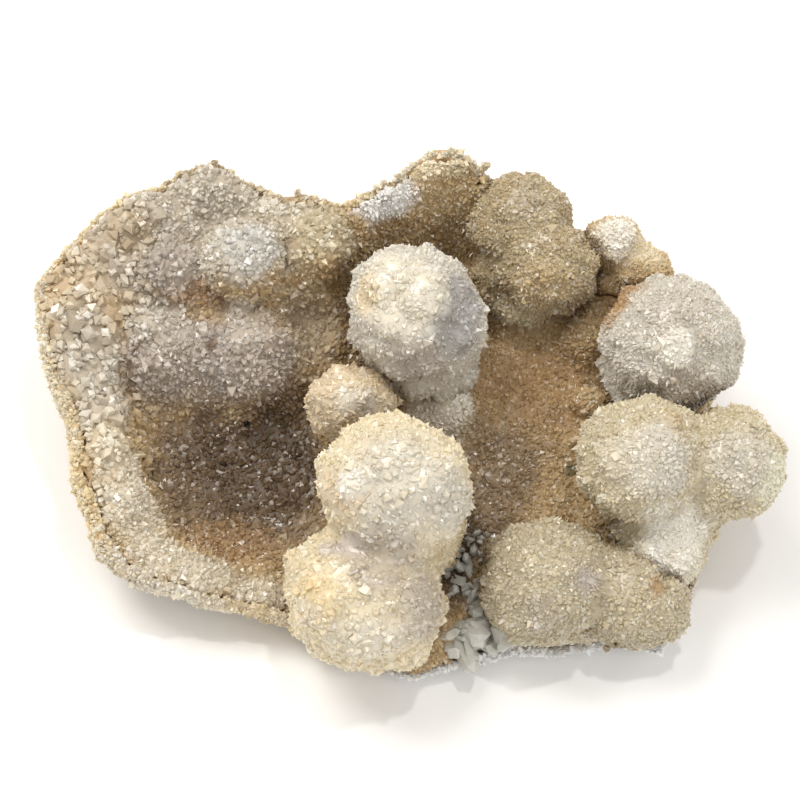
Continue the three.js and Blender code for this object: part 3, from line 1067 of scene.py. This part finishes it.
CRUST_PATCHES = patches(
    (Tone.SILVER, (-55, 40, 45), 48, 0.85, (1, 0.5, 0.6)), (Tone.GREY, (-60, 30, 40), 16, 0.7),
    (Tone.SAND, (-66, 37, 44), 9, 0.4), (Tone.PALE, (-30, 44, 41), 10, 0.8),
    (Tone.LILAC, (-54, 8, 31), 19, 0.85, (1, 0.8, 1)),
    (Tone.LILAC, (-37, 10, 32), 18, 0.85, (1, 0.8, 1)), (Tone.SILVER, (-57, 14, 36), 9, 0.5),
    (Tone.SILVER, (-37, 15, 36), 9, 0.5), (Tone.GREY, (-24, 20, 25), 12, 0.5),
    # The hollow's floor: brown crystals, darkened further by painted shade in the deep hollow and beside the
    # front balls.
    (Tone.BROWN, (-40, -14, 10), 34, 0.95, (1, 0.85, 0.42)),
    (Tone.DARK, (-34, -13, 9.5), 21, 0.65, (1.1, 0.9, 0.6)), (Tone.DARK, (-27, 0, 12), 13, 0.6),
    (Tone.DARK, (-49, -4, 12), 9, 0.3), (Tone.TAN, (-42, -32, 11), 11, 0.5, (1.4, 0.8, 1)),
    (Tone.ROSE, (-80, 26, 38), 14, 0.55, (0.8, 1.3, 1)),
    (Tone.SILVER, (-75, 8, 36), 14, 0.8, (0.8, 1.3, 1)),
    (Tone.SILVER, (-70, -5, 32), 12, 0.8, (0.8, 1.3, 1)), (Tone.CREAM, (-68, -14, 31), 8, 0.5),
    (Tone.PALE, (-65, -22, 29), 11, 0.8, (0.9, 1.2, 1)), (Tone.PALE, (-62, -30, 26), 11, 0.8),
    (Tone.PALE, (-55, -39, 21), 9, 0.9, (1.2, 0.8, 1)),
    (Tone.MILK, (-46, -43, 16), 8, 0.9, (1.3, 0.8, 1)),
    (Tone.PALE, (-33, -46, 12), 8, 0.9, (1.3, 0.8, 1)),
    # Painted shadow: a brown line under the ledge of the upper left mass.
    (Tone.BROWN, (-50, 23, 37), 9, 0.55, (1.8, 0.5, 1)),
    (Tone.RUST, (-49, 23, 37), 6, 0.35, (1.6, 0.6, 1)), (Tone.FROST, (-37.5, 28, 46), 10, 0.65),
    (Tone.STRAW, (-19, 35, 43.5), 9.5), (Tone.LILAC, (-55, 27, 43), 7.5, 0.7),
    (Tone.SILVER, (-61, 17, 34), 6, 0.7), (Tone.BROWN, (-45.3, 11, 32), 2.4, 0.8),
    (Tone.TAN, (0, 47, 40), 18, 0.6, (1.1, 0.6, 0.8)), (Tone.SAND, (11, 48, 43), 15),
    (Tone.PEACH, (10, 49, 45), 14, 0.45), (Tone.SNOW, (-5, 45, 47), 9, 1, (1.2, 0.8, 1)),
    (Tone.CREAM, (10, 52, 53), 9, 1, (1.8, 0.7, 0.7)), (Tone.SAND, (18, 43, 28), 10, 0.95),
    (Tone.LILAC, (-1, 14, 24), 12, 0.7), (Tone.SILVER, (8, -3, 21), 12, 0.8),
    (Tone.WHITE, (13.3, 0, 22.6), 6, 0.95), (Tone.TAN, (34, 8, 18), 20, 0.6, (1, 1, 0.8)),
    # Brown beside the front balls: the floor's own brown, deepened as painted shade.
    (Tone.BROWN, (24, -12, 16), 14, 0.75), (Tone.BROWN, (20, -24, 13), 14, 0.75),
    (Tone.SAND, (29, 20, 22), 8, 0.8), (Tone.CREAM, (46.5, 2.6, 23), 4.5, 0.3),
    # Painted shade in a crack at the back right, low between two balls.
    (Tone.DARK, (44, 35, 20), 7, 0.9, (0.6, 1.3, 1)), (Tone.TAN, (50, 30, 26), 7, 0.8),
    # Painted shade in the trough between the front balls and the right mounds.
    (Tone.DARK, (14, -31, 9), 12, 0.85, (0.8, 1.2, 0.8)),
    (Tone.DARK, (12, -43, 11), 8, 0.7, (0.8, 1.2, 0.8)), (Tone.PALE, (18, -55, 7), 8, 0.8),
    (Tone.PALE, (32, -58, 8), 9, 0.8, (1.8, 0.6, 1)),
    (Tone.PALE, (50, -58, 8), 9, 0.8, (1.8, 0.6, 1)), (Tone.PALE, (67, -44, 10), 11, 0.8),
    (Tone.BLACK, (-37.5, -0.8, 14.5), 1.4, 1.0), (Tone.BLACK, (-42.6, -9.4, 9.9), 1.1, 1.0),
    (Tone.MOSS, (41.2, -13.3, 14.1), 2.2, 0.7),
)

CRUST_KNOBS = (
    Knob((-37.5, 27.5, 44), 10, 2.6), Knob((-55, 27, 41), 8, 1.8),
    Knob((-19, 34, 42), 9, 2.2), Knob((-61.5, 17, 32), 5.5, 1.4),
    Knob((-33, 15, 31), 6, 1.2), Knob((46.5, 2.6, 21.5), 5, 1.6),
    Knob((12.6, 0, 21), 5.5, 1.6),
)

ROCK_PATCHES = patches(
    (Tone.PEACH, (-86, 20, 32), 34, 0.9, (0.7, 1.2, 1)),
    (Tone.PEACH, (-74, -28, 24), 26, 0.8, (0.8, 1.2, 0.8)),
    (Tone.PALE, (-45, -52, 12), 30, 0.9, (1.3, 0.7, 0.8)),
    (Tone.PEACH, (6, 55, 50), 20, 0.8, (1.4, 0.8, 0.6)),
    (Tone.SAND, (-30, 52, 44), 26, 0.5, (1.6, 1, 0.5)),
    (Tone.TAN, (40, 52, 20), 30, 0.5, (1.4, 1, 0.6)),
    (Tone.GREY, (0, 60, 8), 30, 0.5, (2.0, 1, 0.4)),
    (Tone.PALE, (0, -66, 4), 22, 0.8, (1.3, 0.7, 0.8)),
    (Tone.FROST, (42, -60, 4), 30, 0.95, (1.7, 0.6, 1)), (Tone.GREY, (72, -10, 6), 24, 0.5),
    (Tone.BROWN, (0, 0, 0), 60, 0.35, (1.2, 0.8, 0.15)),
)

RIND_PATCHES = patches(
    (Tone.CREAM, (-84, 10, 32), 26, 0.8, (0.6, 1, 1)),
    (Tone.CREAM, (8, 54, 52), 20, 0.9, (1.4, 0.8, 0.7)), (Tone.PALE, (-55, -46, 16), 22, 0.7),
    (Tone.GREY, (-40, 56, 40), 30, 0.5), (Tone.SNOW, (42, -60, 4), 40, 1, (1.8, 0.7, 1)),
)

# The balls as they lie in the plate's drawing. UPPER and LOWER are the two at the front.
TALL = Ball((2.9, 15.4, 42), 16.2)
SMALL = Ball((-13, -2.9, 30), 9.5)
UPPER = Ball((-1, -32, 40), 16.8)
LOWER = Ball((-9.6, -53.6, 24), 19.2)
REAR = Ball((29.9, 43, 40), 13.5)
REAR_NEAR = Ball((35, 30, 38), 11.7)
RIDGE = Ball((52, 38, 38), 7.3)
RIGHT = Ball((65, 9, 38), 17)
FAR = Ball((55.6, -22, 36), 14.8)
FARTHEST = Ball((78, -21, 32), 12.6)
FAR_NEAR = Ball((64, -36, 20), 10.6)
MOUND = Ball((33, -47, 24), 14.3)
MOUND_LOW = Ball((56, -51, 16), 11)

# Ball patches: pale tops are partly painted light, grey right and lower flanks partly painted shade.
BALLS = (
    BallGrowth(
        "ball_tall", ["ball_center_tall"], Tone.SILVER,
        patches(
            (Tone.PALE, TALL.at(-2, 4), 15), (Tone.MILK, TALL.at(-3, 6), 11, 0.95),
            (Tone.MILK, TALL.at(3, 1), 7), (Tone.PEACH, TALL.at(-13, 3), 7, 0.7),
            # Blue-grey on the right flank: partly grey crystals, partly painted shade.
            (Tone.BLUE_GREY, TALL.at(11, -6), 11), (Tone.BLUE_GREY, TALL.at(14, 3), 9, 0.95),
            (Tone.LILAC, TALL.at(2, -14), 10, 0.8),
        ),
        voxel=0.00094, fill=0.0004, breadth=1.3, height=(0.6, 1.25),
        knobs=(
            Knob(TALL.at(-7, 8), 7, 1.7), Knob(TALL.at(4, 4), 8, 1.8),
            Knob(TALL.at(-8, -3), 6, 1.4), Knob(TALL.at(2, -9), 5, 1.2),
        ),
    ),
    BallGrowth(
        "ball_small", ["ball_center_small"], Tone.ROSE,
        patches((Tone.PALE, SMALL.at(1, 0), 6), (Tone.SILVER, SMALL.at(6, -2), 5, 0.7)),
        voxel=0.0009, lump_height=0.0007, fill=0.00035, breadth=1.2, height=(0.6, 1.25),
        knobs=(Knob(SMALL.at(1, 0), 5, 1.4), Knob(SMALL.at(-6, 1), 4, 1.0)),
    ),
    BallGrowth(
        "balls_front_left", ["balls_front"], Tone.CREAM,
        patches(
            (Tone.SILVER, UPPER.at(0, 0), 18, 0.8), (Tone.ROSE, UPPER.at(-13, -2), 9),
            (Tone.SILVER, UPPER.at(13, -3), 9), (Tone.WHITE, UPPER.at(-9.6, 2), 4.2),
            (Tone.MILK, UPPER.at(1, 5), 8, 0.8), (Tone.PEACH, LOWER.at(-11, 3), 10, 0.8),
            (Tone.MILK, LOWER.at(-13, -1), 6, 0.6), (Tone.GREY, LOWER.at(4, 12), 11),
            (Tone.LILAC, LOWER.at(-5, 15), 6, 0.8, (1.8, 0.8, 0.8)),
            (Tone.PALE, LOWER.at(2, -8), 12), (Tone.GREY, LOWER.at(16, 2), 12, 0.95),
        ),
        voxel=0.00097, fill=0.0004, breadth=1.3, height=(0.6, 1.25),
        knobs=(
            Knob(UPPER.at(-9.6, 2), 4.2, 2.4), Knob(UPPER.at(8, 3), 6, 1.3),
            Knob(UPPER.at(0, 9), 6, 1.2), Knob(LOWER.at(-11, 3), 8, 1.5),
            Knob(LOWER.at(3, -7), 8, 1.4), Knob(LOWER.at(6, 5), 6, 1.0),
        ),
    ),
    BallGrowth(
        "balls_rear", ["balls_back"], Tone.GREENISH,
        patches(
            (Tone.SAND, REAR_NEAR.at(0, -6), 9, 0.5), (Tone.SILVER, REAR.at(2, 4), 8, 0.2),
            (Tone.BROWN, (43, 21, 35), 5, 0.7), (Tone.STRAW, (27, 21, 27), 7, 0.85),
        ),
        lump_height=0.0013, fill=0.00015,
        knobs=(Knob(REAR.at(-4, 5), 7, 1.2), Knob(REAR_NEAR.at(3, 2), 6, 1.2)),
    ),
    BallGrowth(
        "ridge_rear_right", ["ridge_back_right"], Tone.SAND,
        patches(
            (Tone.WHITE, RIDGE.at(0, 1), 9, 0.95), (Tone.CREAM, (60, 35, 38), 6, 0.8),
            (Tone.RUST, (57, 29, 26), 7, 0.5),
        ),
        lump_height=0.0007, fill=0.00015,
        knobs=(Knob(RIDGE.at(0, 1), 5, 1.2),),
    ),
    BallGrowth(
        "ball_at_right", ["ball_right"], Tone.SILVER,
        patches(
            (Tone.GREY, RIGHT.at(-1, 7), 13, 0.5), (Tone.GREY, RIGHT.at(2, -13), 9, 0.7),
            (Tone.TAN, (52, 19, 41), 10, 0.98), (Tone.WHITE, RIGHT.at(-1.7, -2.9), 6, 0.98),
        ),
        knobs=(Knob(RIGHT.at(-1.7, -2.9), 5, 2.6), Knob(RIGHT.at(9, 5), 7, 1.2)),
    ),
    BallGrowth(
        "balls_at_far_right", ["balls_far_right"], Tone.STRAW,
        patches(
            (Tone.SILVER, FAR.at(4, 0), 12), (Tone.PALE, FAR.at(-4, 0), 10, 0.55),
            (Tone.SAND, FAR.at(9, 9), 6, 0.5), (Tone.SILVER, FARTHEST.at(0, 1), 11, 0.7),
            (Tone.GREEN_GOLD, FARTHEST.at(10, -4), 8, 0.95),
            (Tone.WHITE, FAR_NEAR.at(0, 0), 13, 0.98),
            (Tone.KHAKI, (68, -26, 40), 6, 0.6, (0.6, 1.6, 1.4)),
            (Tone.KHAKI, (60, -33, 33), 5, 0.6, (1.6, 0.7, 0.9)),
        ),
        voxel=0.00086, lump_height=0.0011, breadth=1.1, height=(0.7, 1.45),
        knobs=(Knob(FAR.at(-4, 0), 7, 1.3), Knob(FARTHEST.at(2, 4), 6, 1.1)),
    ),
    BallGrowth(
        "mounds_right_front", ["mounds_front_right"], Tone.KHAKI,
        patches(
            (Tone.STRAW, MOUND.at(-2, 4), 9, 0.6), (Tone.GREY, MOUND.at(0, -9), 8, 0.5),
            (Tone.LILAC, MOUND.at(11, 0), 6, 0.7), (Tone.STRAW, MOUND_LOW.at(2, 0), 9, 0.5),
            (Tone.TAN, MOUND_LOW.at(3.6, 6), 3.5),
        ),
        breadth=1.1, height=(0.7, 1.45),
        knobs=(Knob(MOUND.at(-3, 5), 6, 1.1),),
    ),
)


def main() -> None:
    """Builds the studio and every piece of the specimen."""
    logging.basicConfig(level=logging.INFO, format="%(name)s %(message)s")
    Studio().build()
    shadow = Shadow()
    growths = [node for ball in BALLS for node in ball.nodes]
    RockPlate(patches=ROCK_PATCHES).build(RockFinish("rock_with_rind").material())
    crust = DruseCrust(
        "druse", ["druse_crust"], Tone.SAND, CRUST_PATCHES, voxel=0.00088, fill=0.00015, knobs=CRUST_KNOBS,
        seed=10, hidden_by=growths, backed_by=["matrix"],
    )
    druse_finish = CrystalFinish(
        "druse_crystals", transmission=0.22, roughness=0.1, softness=0.2, depth=0.0012, spread=0.3
    ).material()
    crust.build(shadow, GroundFinish("druse_mass").material(), druse_finish)
    rind = CreamRind(
        "cream_rind", ["matrix"], Tone.PEACH, RIND_PATCHES, voxel=0.001, seed=19,
        hidden_by=["druse_crust", *growths], clearance=0.0002,
    )
    rind.build(shadow, CrystalFinish("rind_crystals", transmission=0.1, roughness=0.35).material())
    crust_skin = Skin.of(["druse_crust"], voxel=0.0016, smoothing=8)
    clear = ClearFinish("clear_blades").material()
    blades = TroughBlades("trough_blades", (19, -56, 8), reach_mm=9, count=34, size=0.0029)
    blades.build(crust_skin, clear)
    points = TroughBlades("trough_points", (14, -39, 11), reach_mm=13, count=90, size=0.0015)
    points.build(crust_skin, clear)
    finish = CrystalFinish(
        "ball_crystals", transmission=0.14, roughness=0.12, softness=0.25, depth=0.0012, spread=0.14
    ).material()
    for seed, ball in enumerate(BALLS, FIRST_BALL_SEED):
        ball.seed = seed
        ball.backed_by = ["matrix", "druse_crust"]
        ball.build(shadow, finish)


if __name__ == "__main__":
    main()
